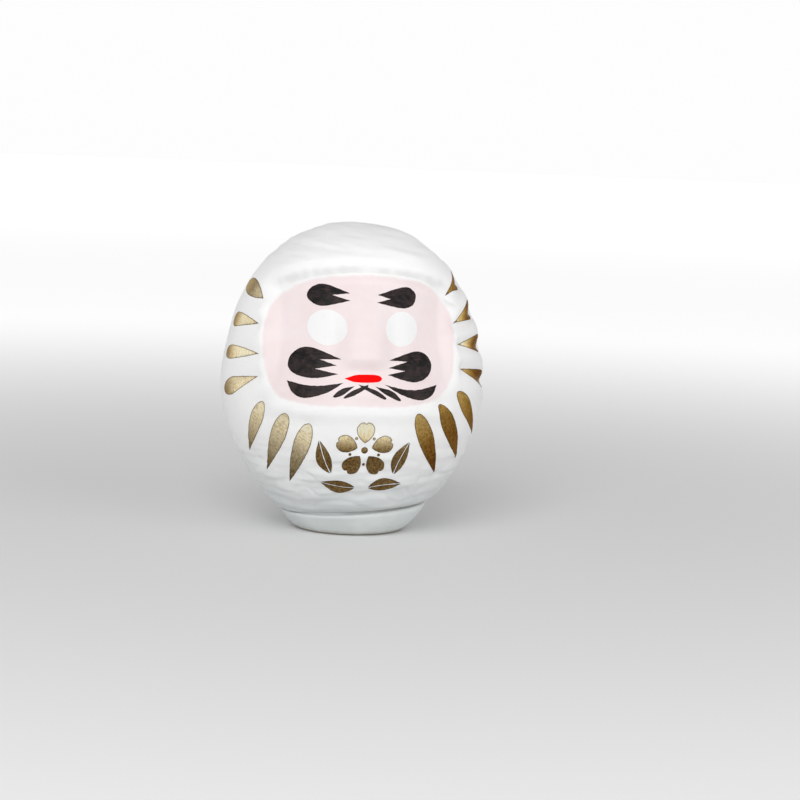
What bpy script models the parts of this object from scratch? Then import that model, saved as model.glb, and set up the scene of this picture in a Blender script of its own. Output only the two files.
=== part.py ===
"""A small papier-mache daruma doll: a hollow paper shell glued on a clay weight, with its paint and
gilding as thin films. Lengths in the tables are millimetres and MM turns them into metres. +Z is up,
the face looks along -Y, and the origin is under the middle of the foot. "Left" and "right" are as seen
from the front, so left is -X."""

import math

import bmesh
import bpy
from mathutils import Matrix, Vector

MM = 0.001

# The turned egg that everything starts from: (radius, height) from the crown down to the foot.
EGG_PROFILE = (
    (0.0, 90.5), (15.6, 87.3), (26.5, 79.2), (33.4, 68.3), (37.5, 54.6), (38.8, 44.0),
    (37.7, 34.0), (33.7, 23.2), (27.6, 13.2), (20.7, 6.0), (16.2, 1.6), (0.0, -3.0),
)
HEART_Z = 45.0  # the point inside the doll from which latitudes are measured
DEPTH_SHARE = 0.965  # the doll is this much shallower, front to back, than it is wide

SEAM_Z = 7.4  # the crease where the shell stops and the weight begins
WALL = 2.0  # paper thickness
GAP = 0.3  # clearance between touching pieces
FOOT_RADIUS = 12.0
RIM_RADIUS = 21.3  # the weight's widest, just under the seam
SIDE_BULGE = 1.2  # 1 rounds the weight's side like a quarter ellipse, 2 makes it a plain cone
SPIGOT_RADIUS = 18.2  # the part of the weight that stands inside the shell's mouth
SPIGOT_TOP_Z = 12.8

FILM = 0.25  # thickness of a coat of paint or gilding
PINK_LAYER = GAP  # height of each coat's underside over the paper
MARK_LAYER = PINK_LAYER + FILM + GAP

SKIN_AROUND = 68  # grid of the shell's outer skin, closer together at the front
SKIN_UP = 34
CAVITY_AROUND = 36
CAVITY_UP = 18
FRONT_CROWDING = 0.35

# Gold stripes: (round end, pointed end, width); an end is (degrees from the nose, height).
UPPER_STRIPES = {
    "left": (
        ((-86, 72.0), (-60.5, 68.2), 4.8),
        ((-80.5, 61.5), (-57, 61.7), 4.3),
        ((-80, 51.7), (-52.5, 53.4), 4.0),
        ((-78, 41.0), (-51, 47.0), 4.6),
    ),
    "right": (
        ((86, 76.0), (57, 71.0), 5.4),
        ((87, 66.6), (51.5, 63.5), 5.0),
        ((87, 56.2), (51.5, 58.0), 4.8),
        ((87, 45.6), (51, 50.4), 4.8),
    ),
}
LOWER_STRIPES = {
    "left": (
        ((-45, 40.6), (-63.5, 25.0), 4.8),
        ((-33, 37.7), (-53, 20.1), 5.0),
        ((-22.5, 35.0), (-39.5, 17.3), 5.0),
    ),
    "right": (
        ((46, 44.3), (73, 30.4), 4.8),
        ((35, 41.2), (63, 24.0), 5.0),
        ((24, 38.7), (46.7, 20.3), 5.0),
    ),
}
UPPER_SHAPE = (0.14, 1.1)  # where along its length a stripe is widest, and how full it is beyond
LOWER_SHAPE = (0.3, 1.5)
UPPER_GROOVE = 1.3  # how deep the paper dips under an upper stripe
LOWER_GROOVE = 0.4
GROOVE_WIDTH = 2.4

# Moulded features. A band of three numbers is (low, high, soft): full from low to high, and nothing
# soft beyond them. A band of two is a ramp from the first to the second. "Across" is along x, "around"
# is degrees from the nose, and every other band is a height.
SIDES_AROUND = (52, 84, 12)
SIDES_BAND = (44, 72, 6)
SIDES_HEIGHT = 0.2
FACE_ACROSS = (-24.5, 23.5, 5)
FACE_BAND = (45, 72, 5)
FACE_DEPTH = 1.2  # how deep the face lies at its chin
FACE_SINKS = 2.2  # how much deeper it lies at its brow
FACE_SINKS_OVER = (44, 62)
HOOD_Z = 80.2
HOOD_ARCH = 0.0075  # the hood's edge drops this much times x squared
HOOD_HEIGHT = 1.8
HOOD_WIDTH = 4.2
HOOD_ACROSS = (-20, 20, 11)
NOSE_ACROSS = (-2.5, 2.5, 7.5)
NOSE_TIP = 3.2  # how far the nose stands out at its tip
NOSE_SLOPE = 2.2  # how much less at its root
NOSE_TIP_BAND = (50.5, 54)
NOSE_SLOPE_BAND = (56, 74)
NOSE_ROOT_BAND = (70, 78)
SOCKET_DEPTH = 0.9
SOCKET_CENTRE = (20, 62)
SOCKET_SIZE = (6, 9)
CHEEK_HEIGHT = 0.7
CHEEK_CENTRE = (14, 51)
CHEEK_SIZE = (7, 6)
CHIN_HEIGHT = 0.8
CHIN_Z = 38.6
CHIN_WIDTH = 2.6
CHIN_ACROSS = (-22, 22, 8)

# Painted outlines, drawn flat as seen from the front: (x, height, corner?) in order round the shape.
FACE_OUTLINE = (
    (-28.6, 57, 0), (-27.6, 64, 0), (-23.5, 69.6, 0), (-14, 74, 0), (0, 75.8, 0), (14, 74.6, 0),
    (22, 70.2, 0), (26, 64, 0), (26.8, 57, 0), (26, 49, 0), (23.4, 44, 0), (17, 41, 0),
    (-2, 40.2, 0), (-19, 40.4, 0), (-25.6, 43.8, 0), (-28, 50, 0),
)
BROW_OUTLINES = {
    "left": (
        (-16, 70.5, 0), (-14.4, 72.8, 0), (-11, 73.6, 0), (-4.2, 71.4, 1), (-9.2, 70.7, 1),
        (-4.2, 69.4, 1), (-11.6, 67.6, 0), (-15, 68.6, 0),
    ),
    "right": (
        (3.6, 71.2, 1), (11.4, 73.4, 0), (14.2, 72.4, 0), (14.9, 70.6, 0), (13.8, 68.4, 0),
        (10.5, 67.6, 0), (3.3, 69.1, 1), (7.4, 70.1, 1),
    ),
}
WHISKER_OUTLINES = {
    "left": (
        (-21.2, 51.2, 0), (-19.4, 54.6, 0), (-15, 56.1, 0), (-6.6, 53.3, 1), (-12.6, 53, 1),
        (-7.9, 51.6, 1), (-13.9, 50.4, 1), (-7.4, 49.2, 1), (-14, 47.8, 0), (-19.4, 48.6, 0),
    ),
    "right": (
        (6.8, 53.4, 1), (14.2, 55.7, 0), (18, 54.6, 0), (19.4, 51.6, 0), (17.8, 48.6, 0),
        (13.6, 47.4, 0), (6.4, 49.4, 1), (11.5, 50.5, 1), (6.6, 51.3, 1), (12.1, 53, 1),
    ),
}
MOUSTACHE_OUTLINES = {
    "left": (
        (-21.4, 46.6, 1), (-17, 45.8, 0), (-12.4, 45.8, 0), (-5.9, 46.9, 1), (-10.6, 44, 0),
        (-16.6, 42.2, 0), (-20, 43.6, 0),
    ),
    "right": (
        (5.6, 46.7, 1), (11, 45.5, 0), (15.4, 45.3, 0), (21, 46.4, 1), (19.6, 43.8, 0),
        (16.2, 42.4, 0), (10.6, 43.9, 0),
    ),
}
CHIN_OUTLINES = {
    "left": ((-2.9, 46.1, 1), (-6.4, 45, 0), (-8.9, 42.7, 1), (-6, 43.5, 0)),
    "crossed": (
        (-5.4, 42.5, 1), (-3.6, 44.6, 0), (-1, 45.9, 1), (-1.8, 46.6, 1), (-0.2, 46.2, 1),
        (1, 46.6, 1), (0.9, 45.9, 1), (3.8, 44.7, 0), (5.6, 42.5, 1), (2.6, 43.7, 0),
        (0, 45.3, 1), (-2.6, 43.6, 0),
    ),
    "right": ((3, 46.1, 1), (5.6, 43.9, 0), (10.2, 41.9, 1), (7.6, 44.6, 0)),
}
MOUTH_OUTLINE = (
    (-5.7, 48.1, 1), (-2.2, 49.2, 0), (3.2, 49.3, 0), (4.8, 48.3, 0), (3.2, 47.3, 0), (-2.6, 47.2, 0),
)
EYES = {"left": ((-10.5, 61.8), (5.4, 4.9)), "right": ((10.5, 61.9), (4.7, 4.8))}

# Gilt crest on the chest: a five-petalled blossom between two pairs of leaves.
BLOSSOM_CENTRE = (0.8, 27.2)
BLOSSOM_RADIUS = 7.4
BLOSSOM_NOTCH = 0.24
CREST_LEAVES = {
    "lower_left": ((-1.2, 16.4), (-10.6, 17.6), 3.6),
    "upper_left": ((-8.2, 20.6), (-12.0, 30.2), 3.8),
    "lower_right": ((2.8, 16.4), (12.2, 17.6), 3.6),
    "upper_right": ((9.8, 20.6), (13.6, 30.2), 3.8),
}

COLOURS = {  # name: (colour, roughness, metallic)
    "chalk_white": ((0.87, 0.88, 0.88), 0.7, 0.0),
    "clay_white": ((0.70, 0.75, 0.74), 0.75, 0.0),
    "dried_glue": ((0.62, 0.50, 0.30), 0.5, 0.0),
    "face_pink": ((0.85, 0.68, 0.67), 0.6, 0.0),
    "eye_white": ((0.90, 0.90, 0.88), 0.6, 0.0),
    "ink_black": ((0.022, 0.016, 0.018), 0.5, 0.0),
    "lip_red": ((0.80, 0.012, 0.008), 0.5, 0.0),
    "gilt": ((0.60, 0.40, 0.12), 0.35, 1.0),
}


# ---- the doll's surface -------------------------------------------------------------------------


def ramp(value, start, end):
    """0 up to start, 1 from end on, and smooth between them."""
    t = min(max((value - start) / (end - start), 0.0), 1.0)
    return t * t * (3 - 2 * t)


def plateau(value, low, high, soft):
    """1 between low and high, falling to 0 over the distance soft outside them."""
    return ramp(value, low - soft, low) * (1 - ramp(value, high, high + soft))


def hump(distance, width):
    return math.exp(-((distance / width) ** 2))


def polar_profile():
    """The egg profile as (latitude, distance from the heart), from the south pole up."""
    points = []
    for radius, height in EGG_PROFILE:
        latitude = math.atan2(height - HEART_Z, radius)
        points.append((latitude, math.hypot(radius, height - HEART_Z)))
    return sorted(points)


POLAR = polar_profile()


def egg_distance(latitude):
    """Distance from the heart to the turned egg, by a cubic through the profile's points."""
    last = len(POLAR) - 1
    i = 0
    while i < last - 1 and POLAR[i + 1][0] < latitude:
        i += 1

    def slope(k):
        low, high = POLAR[max(k - 1, 0)], POLAR[min(k + 1, last)]
        return 0.0 if k in (0, last) else (high[1] - low[1]) / (high[0] - low[0])

    (x0, y0), (x1, y1) = POLAR[i], POLAR[i + 1]
    step = x1 - x0
    t = min(max((latitude - x0) / step, 0.0), 1.0)
    ease = t * t * (3 - 2 * t)
    rise = (slope(i) * t * (1 - t) ** 2 - slope(i + 1) * t * t * (1 - t)) * step
    return y0 + (y1 - y0) * ease + rise


def segment_distance(arc, height, start, end):
    """Distance from a point on the unrolled side to the segment from start to end."""
    run, climb = end[0] - start[0], end[1] - start[1]
    t = ((arc - start[0]) * run + (height - start[1]) * climb) / (run * run + climb * climb)
    t = min(max(t, 0.0), 1.0)
    return math.hypot(arc - start[0] - t * run, height - start[1] - t * climb)


def groove_depth(around, height, radius):
    """How far the paper dips under the stripes at this longitude, in degrees, and height."""
    side = "left" if around < 0 else "right"
    arc = math.radians(around) * radius
    depth = 0.0
    for stripes, deep in ((UPPER_STRIPES, UPPER_GROOVE), (LOWER_STRIPES, LOWER_GROOVE)):
        for start, end, _ in stripes[side]:
            ends = [(math.radians(a) * radius, h) for a, h in (start, end)]
            depth += deep * hump(segment_distance(arc, height, *ends), GROOVE_WIDTH)
    return depth


def mound(x, z, centre, size):
    """A rounded rise of height 1 on both sides of the face."""
    return hump(abs(x) - centre[0], size[0]) * hump(z - centre[1], size[1])


def relief(around, latitude, distance):
    """Height of the moulded features over the turned egg; around is in radians from the nose."""
    radius = distance * math.cos(latitude)
    x = radius * math.sin(around)
    z = HEART_Z + distance * math.sin(latitude)
    degrees = math.degrees(around)
    height = SIDES_HEIGHT * plateau(abs(degrees), *SIDES_AROUND) * plateau(z, *SIDES_BAND)
    height -= groove_depth(degrees, z, radius)
    if math.cos(around) <= 0:
        return height
    depth = FACE_DEPTH + FACE_SINKS * ramp(z, *FACE_SINKS_OVER)
    height -= depth * plateau(x, *FACE_ACROSS) * plateau(z, *FACE_BAND)
    above_hood = z - HOOD_Z + HOOD_ARCH * x * x
    height += HOOD_HEIGHT * hump(above_hood, HOOD_WIDTH) * plateau(x, *HOOD_ACROSS)
    nose = (NOSE_TIP - NOSE_SLOPE * ramp(z, *NOSE_SLOPE_BAND)) * plateau(x, *NOSE_ACROSS)
    height += nose * ramp(z, *NOSE_TIP_BAND) * (1 - ramp(z, *NOSE_ROOT_BAND))
    height -= SOCKET_DEPTH * mound(x, z, SOCKET_CENTRE, SOCKET_SIZE)
    height += CHEEK_HEIGHT * mound(x, z, CHEEK_CENTRE, CHEEK_SIZE)
    height += CHIN_HEIGHT * hump(z - CHIN_Z, CHIN_WIDTH) * plateau(x, *CHIN_ACROSS)
    return height


def skin_point(around, latitude, over=0.0):
    """The surface point at a longitude and latitude, over millimetres outside the paper."""
    distance = egg_distance(latitude)
    distance += relief(around, latitude, distance) + over
    level = distance * math.cos(latitude)
    return Vector((
        level * math.sin(around) * MM,
        -level * math.cos(around) * DEPTH_SHARE * MM,
        (HEART_Z + distance * math.sin(latitude)) * MM,
    ))


# ---- scene helpers ------------------------------------------------------------------------------


def fresh_scene():
    for item in list(bpy.data.objects):
        bpy.data.objects.remove(item, do_unlink=True)
    collections = []
    for name in ("daruma_doll", "cutters"):
        collection = bpy.data.collections.new(name)
        bpy.context.scene.collection.children.link(collection)
        collections.append(collection)
    return collections


DOLL, CUTTERS = fresh_scene()


def material(name):
    if name in bpy.data.materials:
        return bpy.data.materials[name]
    colour, roughness, metallic = COLOURS[name]
    made = bpy.data.materials.new(name)
    made.use_nodes = True
    shader = made.node_tree.nodes["Principled BSDF"]
    shader.inputs["Base Color"].default_value = (*colour, 1)
    shader.inputs["Roughness"].default_value = roughness
    shader.inputs["Metallic"].default_value = metallic
    return made


def add_object(name, data, collection, finish=None):
    made = bpy.data.objects.new(name, data)
    collection.objects.link(made)
    if finish:
        data.materials.clear()
        data.materials.append(material(finish))
    return made


def as_cutter(item):
    item.hide_render = True
    item.display_type = "WIRE"
    return item


def add_boolean(item, operation, cutter):
    modifier = item.modifiers.new(operation.lower(), "BOOLEAN")
    modifier.operation = operation
    modifier.solver = "EXACT"
    modifier.object = cutter


def skin_solid(name, over, across, up, collection):
    """A closed solid that follows the doll's surface, made by moving the vertices of a ball. Its faces
    are split the same way at every height over the paper, so that layers never cut each other."""
    mesh = bpy.data.meshes.new(name)
    shape = bmesh.new()
    bmesh.ops.create_uvsphere(shape, u_segments=across, v_segments=up, radius=1)
    for vertex in shape.verts:
        turn = math.atan2(vertex.co.x, -vertex.co.y)
        around = turn - FRONT_CROWDING * math.sin(turn)
        latitude = math.asin(max(-1.0, min(1.0, vertex.co.z)))
        vertex.co = skin_point(around, latitude, over)
    bmesh.ops.triangulate(shape, faces=shape.faces, quad_method="FIXED")
    shape.to_mesh(mesh)
    shape.free()
    mesh.shade_smooth()
    return add_object(name, mesh, collection)


def turned_solid(name, profile, segments, closed, finish):
    """A profile of (radius, height) points, outer side downwards, turned about Z."""
    mesh = bpy.data.meshes.new(name)
    shape = bmesh.new()
    vertices = [shape.verts.new((radius * MM, 0, height * MM)) for radius, height in profile]
    for first, second in zip(vertices, vertices[1:]):
        shape.edges.new((first, second))
    if closed:
        shape.edges.new((vertices[-1], vertices[0]))
    shape.to_mesh(mesh)
    shape.free()
    made = add_object(name, mesh, DOLL, finish)
    screw = made.modifiers.new("turn", "SCREW")
    screw.axis = "Z"
    screw.steps = segments
    screw.render_steps = segments
    screw.use_merge_vertices = True
    screw.merge_threshold = 0.00001
    screw.use_smooth_shade = True
    return made


# ---- outlines -----------------------------------------------------------------------------------


def traced(points, steps=3):
    """A closed outline through (x, y, corner) points: smooth, but sharp at each corner."""
    count = len(points)
    outline = []
    for i, (x0, y0, corner0) in enumerate(points):
        before, after, beyond = points[i - 1], points[(i + 1) % count], points[(i + 2) % count]
        start = Vector((x0, y0))
        end = Vector(after[:2])
        lead = (end - start) / 3 if corner0 else (end - Vector(before[:2])) / 6
        follow = (end - start) / 3 if after[2] else (Vector(beyond[:2]) - start) / 6
        for step in range(steps):
            t = step / steps
            point = start * (1 - t) ** 3 + (start + lead) * 3 * t * (1 - t) ** 2
            point += (end - follow) * 3 * t * t * (1 - t) + end * t**3
            outline.append((point.x, point.y))
    return outline


def oval(centre, radii, count=20):
    angles = [2 * math.pi * i / count for i in range(count)]
    return [(centre[0] + radii[0] * math.cos(a), centre[1] + radii[1] * math.sin(a)) for a in angles]


def drop(length, width, shape, count=9):
    """A brush stroke along +X, centred on the origin: round at its start and pointed at its end."""
    widest, fullness = shape
    upper = []
    for i in range(1, count):
        t = (i / count) ** 1.5
        if t < widest:
            share = math.sqrt(1 - (1 - t / widest) ** 2)
        else:
            share = 1 - ((t - widest) / (1 - widest)) ** fullness
        upper.append(((t - 0.5) * length, width / 2 * share))
    lower = [(x, -y) for x, y in reversed(upper)]
    return [(-length / 2, 0.0), *upper, (length / 2, 0.0), *lower]


def leaf(start, end, width, count=6):
    """A leaf from start to end, pointed at both ends and bellied towards one side."""
    along = Vector(end) - Vector(start)
    across = Vector((-along.y, along.x)).normalized() * width / 2
    edge = [(t / count, math.sin(math.pi * t / count)) for t in range(count + 1)]
    one = [Vector(start) + along * t + across * 1.2 * s for t, s in edge]
    other = [Vector(start) + along * t - across * 0.8 * s for t, s in reversed(edge[1:-1])]
    return [tuple(point) for point in one + other]


def blossom(centre, radius, count=50):
    """The outline of five round petals."""
    outline = []
    for i in range(count):
        angle = 2 * math.pi * i / count
        petal = abs(math.cos(2.5 * (angle - math.pi / 2)))
        reach = radius * (1 - BLOSSOM_NOTCH * (1 - petal**0.7))
        outline.append((centre[0] + reach * math.cos(angle), centre[1] + reach * math.sin(angle)))
    return outline


# ---- films of paint and gilding -----------------------------------------------------------------


def prism(name, outline, placed, half_depth, finish):
    """An outline in millimetres extruded both ways along the local Z of the matrix placed."""
    curve = bpy.data.curves.new(name, "CURVE")
    curve.dimensions = "2D"
    curve.fill_mode = "BOTH"
    curve.extrude = half_depth * MM
    curve.resolution_u = 1
    curve.render_resolution_u = 0
    spline = curve.splines.new("POLY")
    spline.points.add(len(outline) - 1)
    for point, (x, y) in zip(spline.points, outline):
        point.co = (x * MM, y * MM, 0, 1)
    spline.use_cyclic_u = True
    drawn = add_object(name + "_outline", curve, CUTTERS)
    drawn.matrix_world = placed
    bpy.context.view_layer.update()
    depsgraph = bpy.context.evaluated_depsgraph_get()
    mesh = bpy.data.meshes.new_from_object(drawn.evaluated_get(depsgraph))
    shape = bmesh.new()
    shape.from_mesh(mesh)
    bmesh.ops.remove_doubles(shape, verts=shape.verts, dist=0.001 * MM)
    bmesh.ops.recalc_face_normals(shape, faces=shape.faces)
    shape.to_mesh(mesh)
    shape.free()
    mesh.name = name
    made = add_object(name, mesh, DOLL, finish)
    made.matrix_world = drawn.matrix_world
    bpy.data.objects.remove(drawn, do_unlink=True)
    bpy.data.curves.remove(curve)
    return made


LAYER_SKINS = {}


def layer_skin(over):
    """The cutter that follows the paper at a height over it, made once for each height."""
    if over not in LAYER_SKINS:
        name = "layer_%03d_um" % round(over * 1000)
        LAYER_SKINS[over] = as_cutter(skin_solid(name, over, SKIN_AROUND, SKIN_UP, CUTTERS))
    return LAYER_SKINS[over]


def film(name, outline, placed, half_depth, layer, finish):
    """The coat that an outline leaves on the doll: its prism kept between two layer skins."""
    made = prism(name, outline, placed, half_depth, finish)
    add_boolean(made, "INTERSECT", layer_skin(layer + FILM))
    add_boolean(made, "DIFFERENCE", layer_skin(layer))
    return made


def front_film(name, outline, layer, finish):
    """A mark on the face or chest, drawn as seen from the front."""
    middle, half_depth = 30.0, 22.0
    upright = Matrix.Translation((0, -middle * MM, 0)) @ Matrix.Rotation(math.pi / 2, 4, "X")
    return film(name, outline, upright, half_depth, layer, finish)


def latitude_at(height):
    """The latitude at which the turned egg passes a height."""
    low, high = -math.pi / 2, math.pi / 2
    for _ in range(40):
        middle = (low + high) / 2
        if HEART_Z + egg_distance(middle) * math.sin(middle) < height:
            low = middle
        else:
            high = middle
    return (low + high) / 2


def stripe_film(name, start, end, width, shape):
    """A gold stripe from its round end to its point, laid on along the line out of the heart."""
    first, last = [skin_point(math.radians(a), latitude_at(h)) for a, h in (start, end)]
    heart = Vector((0, 0, HEART_Z * MM))
    middle = (first + last) / 2
    outward = (middle - heart).normalized()
    along = last - first
    along = (along - along.dot(outward) * outward).normalized()
    across = outward.cross(along)
    placed = Matrix.Translation(middle) @ Matrix((along, across, outward)).transposed().to_4x4()
    outline = drop((last - first).length / MM, width, shape)
    return film(name, outline, placed, 10.0, GAP, "gilt")


# ---- the pieces ---------------------------------------------------------------------------------


def make_shell():
    """Hollow paper body: outer skin less its cavity, cut open at the seam."""
    shell = skin_solid("paper_shell", 0.0, SKIN_AROUND, SKIN_UP, DOLL)
    shell.data.materials.append(material("chalk_white"))
    cavity = as_cutter(skin_solid("shell_cavity", -WALL, CAVITY_AROUND, CAVITY_UP, CUTTERS))
    reach = 60.0
    bpy.ops.mesh.primitive_cylinder_add(
        vertices=32, radius=reach * MM, depth=reach * MM, location=(0, 0, (SEAM_Z - reach / 2) * MM)
    )
    mouth = as_cutter(bpy.context.active_object)
    mouth.name = "shell_mouth"
    for collection in list(mouth.users_collection):
        collection.objects.unlink(mouth)
    CUTTERS.objects.link(mouth)
    add_boolean(shell, "DIFFERENCE", cavity)
    add_boolean(shell, "DIFFERENCE", mouth)
    return shell


def make_weight():
    """Clay dish with a flat foot, a rounded side up to the seam, and a spigot into the mouth."""
    top = SEAM_Z - GAP
    lip = top - 0.8
    side = [(RIM_RADIUS - 0.6, top), (RIM_RADIUS, top - 0.3), (RIM_RADIUS, lip)]
    turn = 7
    for i in range(1, turn + 1):
        angle = math.pi / 2 * i / turn
        radius = FOOT_RADIUS + (RIM_RADIUS - FOOT_RADIUS) * math.cos(angle) ** SIDE_BULGE
        side.append((radius, lip * (1 - math.sin(angle) ** SIDE_BULGE)))
    spigot = [
        (0, SPIGOT_TOP_Z), (SPIGOT_RADIUS - 1.2, SPIGOT_TOP_Z), (SPIGOT_RADIUS, SPIGOT_TOP_Z - 1.2),
        (SPIGOT_RADIUS, top),
    ]
    return turned_solid("base_weight", spigot + side + [(0, 0)], 40, False, "clay_white")


def make_glue():
    """Ring of glue in the corner between the spigot and the shell's inner wall."""
    inner = SPIGOT_RADIUS + GAP
    section = [
        (inner, 11.9), (20.6, 12.2), (21.9, 11.5), (19.7, 8.7), (inner + 0.4, 8.2), (inner, 8.7),
    ]
    return turned_solid("glue_bead", section, 28, True, "dried_glue")


def make_face_paint():
    front_film("face_field", traced(FACE_OUTLINE), PINK_LAYER, "face_pink")
    for side, (centre, radii) in EYES.items():
        front_film("eye_blank_" + side, oval(centre, radii), MARK_LAYER, "eye_white")
    groups = (
        ("brow_", BROW_OUTLINES), ("cheek_whisker_", WHISKER_OUTLINES),
        ("moustache_", MOUSTACHE_OUTLINES), ("chin_stroke_", CHIN_OUTLINES),
    )
    for prefix, outlines in groups:
        for side, outline in outlines.items():
            front_film(prefix + side, traced(outline), MARK_LAYER, "ink_black")
    front_film("mouth", traced(MOUTH_OUTLINE), MARK_LAYER, "lip_red")


def make_gilding():
    for side in ("left", "right"):
        number = 0
        for stripes, shape in ((UPPER_STRIPES, UPPER_SHAPE), (LOWER_STRIPES, LOWER_SHAPE)):
            for stripe in stripes[side]:
                number += 1
                stripe_film("gold_stripe_%s_%d" % (side, number), *stripe, shape)
    front_film("crest_blossom", blossom(BLOSSOM_CENTRE, BLOSSOM_RADIUS), GAP, "gilt")
    for place, stroke in CREST_LEAVES.items():
        front_film("crest_leaf_" + place, leaf(*stroke), GAP, "gilt")


make_shell()
make_weight()
make_glue()
make_face_paint()
make_gilding()
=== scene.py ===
import itertools
import math

import bpy
import numpy as np
from mathutils import Matrix, Vector
from mathutils.bvhtree import BVHTree
from mathutils.geometry import delaunay_2d_cdt


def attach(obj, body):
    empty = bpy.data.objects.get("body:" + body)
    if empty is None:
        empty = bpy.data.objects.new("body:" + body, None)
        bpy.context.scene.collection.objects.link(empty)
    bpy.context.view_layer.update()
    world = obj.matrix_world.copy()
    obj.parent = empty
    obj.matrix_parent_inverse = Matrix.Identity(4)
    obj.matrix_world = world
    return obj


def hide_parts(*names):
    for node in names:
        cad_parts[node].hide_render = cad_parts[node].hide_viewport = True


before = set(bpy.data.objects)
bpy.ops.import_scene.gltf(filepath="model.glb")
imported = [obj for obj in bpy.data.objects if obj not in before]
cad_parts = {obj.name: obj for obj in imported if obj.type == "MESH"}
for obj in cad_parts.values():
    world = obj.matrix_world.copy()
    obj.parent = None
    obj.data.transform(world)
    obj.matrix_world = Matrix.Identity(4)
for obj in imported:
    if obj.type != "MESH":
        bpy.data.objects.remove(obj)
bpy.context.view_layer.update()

# A papier-mache daruma doll. Shapes are worked out in millimetres, in the CAD frame: +Z up, the face
# towards -Y, "left" and "right" as seen from the front. Meshes are written in metres.

MM = 0.001

# ---- dimensions shared with the CAD ----

EGG_PROFILE = (
    (0.0, 90.5), (15.6, 87.3), (26.5, 79.2), (33.4, 68.3), (37.5, 54.6), (38.8, 44.0),
    (37.7, 34.0), (33.7, 23.2), (27.6, 13.2), (20.7, 6.0), (16.2, 1.6), (0.0, -3.0),
)
HEART_Z = 45.0
DEPTH_SHARE = 0.965
SEAM_Z = 7.4
WALL = 2.0
FOOT_RADIUS = 12.0
SPIGOT_RADIUS = 18.2
SPIGOT_TOP_Z = 12.8

# ---- how fine the meshes are ----

SHELL_AROUND = 400
SHELL_UP = 190
INNER_UP = 26
FRONT_CROWDING = 0.3
BASE_AROUND = 240
MARK_SPACING = 0.42
COAT_SPACING = 0.6

# ---- painted marks ----

# Gold stripes: round end and pointed end as (degrees from the nose, height), and the width. Then where
# along its length a stripe is widest and how full it is beyond, how blunt its round end is, and its
# painted reflection tone, 0 for dark bronze to 1 for pale gold, at its round end, its middle and its
# point.
UPPER_STRIPES = {
    "left": (
        ((-85.5, 72.2), (-60.5, 68.4), 4.8, (0.42, 2.2), 0.5, (0.48, 0.38, 0.72)),
        ((-80.8, 61.5), (-57, 61.5), 4.3, (0.2, 1.5), 0.62, (0.32, 0.80, 0.58)),
        ((-81, 51.9), (-52.5, 53.2), 4.1, (0.25, 1.5), 0.58, (0.30, 0.84, 0.74)),
        ((-78.5, 41.0), (-51, 46.9), 4.9, (0.36, 1.15), 0.5, (0.30, 0.70, 0.68)),
    ),
    "right": (
        ((87, 75.0), (57, 70.9), 5.6, (0.3, 1.2), 0.6, (0.02, 0.06, 0.30)),
        ((88, 66.2), (52.3, 63.2), 5.4, (0.3, 1.2), 0.6, (0.0, 0.07, 0.80)),
        ((88, 55.5), (52.0, 57.4), 5.2, (0.3, 1.2), 0.6, (0.02, 0.12, 1.0)),
        ((88, 44.4), (51.5, 50.5), 5.0, (0.3, 1.2), 0.6, (0.04, 0.08, 0.50)),
    ),
}
LOWER_STRIPES = {
    "left": (
        ((-46.8, 39.8), (-65.0, 24.4), 4.8, (0.3, 1.5), 0.5, (0.75, 0.50, 0.26)),
        ((-34.6, 37.2), (-54.2, 19.5), 5.0, (0.3, 1.5), 0.5, (0.72, 0.44, 0.18)),
        ((-24.0, 34.8), (-41.0, 16.8), 5.0, (0.3, 1.5), 0.5, (0.80, 0.34, 0.14)),
    ),
    "right": (
        ((47, 44.0), (74, 30.2), 5.0, (0.3, 1.5), 0.5, (0.34, 0.20, 0.10)),
        ((35.3, 40.8), (63.5, 23.6), 5.2, (0.35, 1.6), 0.5, (0.24, 0.13, 0.18)),
        ((24, 38.5), (47, 20.1), 5.2, (0.35, 1.6), 0.5, (0.40, 0.14, 0.04)),
    ),
}
UPPER_GROOVE = {"left": 0.8, "right": 1.6}  # how deep the paper dips under an upper stripe
LOWER_GROOVE = 0.4
GROOVE_WIDTH = {"left": 2.3, "right": 2.2}
GROOVE_FADE = {"left": (56, 76), "right": (95, 110)}  # the upper grooves run out over these degrees

# Moulded features, which refine the CAD's. A band of three numbers is (low, high, soft): full from low
# to high, and nothing soft beyond them. A band of two is a ramp from the first to the second. "Across"
# is along x, "around" is degrees from the nose, and every other band is a height.
SIDES_AROUND = (52, 84, 12)
SIDES_BAND = (44, 72, 6)
SIDES_HEIGHT = 0.2
FACE_ACROSS = (-24.5, 23.5, 5)
FACE_CHIN_EDGE = (43, 47)
FACE_BROW_EDGE = (77, 81)
FACE_DEPTH = 1.2  # how deep the face lies at its chin
FACE_SINKS = 2.2  # how much deeper it lies at its brow
FACE_SINKS_OVER = (44, 62)
HOOD_Z = 81.8
HOOD_ARCH = 0.0075  # the hood's edge drops this much times x squared
HOOD_HEIGHT = 0.9
HOOD_WIDTH = 4.6
HOOD_ACROSS = (-20, 20, 11)
UNDERCUT_DEPTH = 0.45  # how deep the paper is pressed in below the hood
UNDERCUT_DROP = 4.6  # how far below the hood's crest that is
UNDERCUT_WIDTH = 2.0
NOSE_ACROSS = (-2.5, 2.5, 7.5)
NOSE_TIP = 2.7  # how far the nose stands out at its tip
NOSE_SLOPE = 2.2  # how much less at its root
NOSE_TIP_BAND = (49.8, 54.5)
NOSE_SLOPE_BAND = (56, 74)
NOSE_ROOT_BAND = (70, 78)
SOCKET_DEPTH = 0.9
SOCKET_CENTRE = (20, 62)
SOCKET_SIZE = (6, 9)
CHEEK_HEIGHT = 0.7
CHEEK_CENTRE = (14, 51)
CHEEK_SIZE = (7, 6)
CHIN_HEIGHT = 0.8
CHIN_Z = 38.6
CHIN_WIDTH = 2.6
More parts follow.
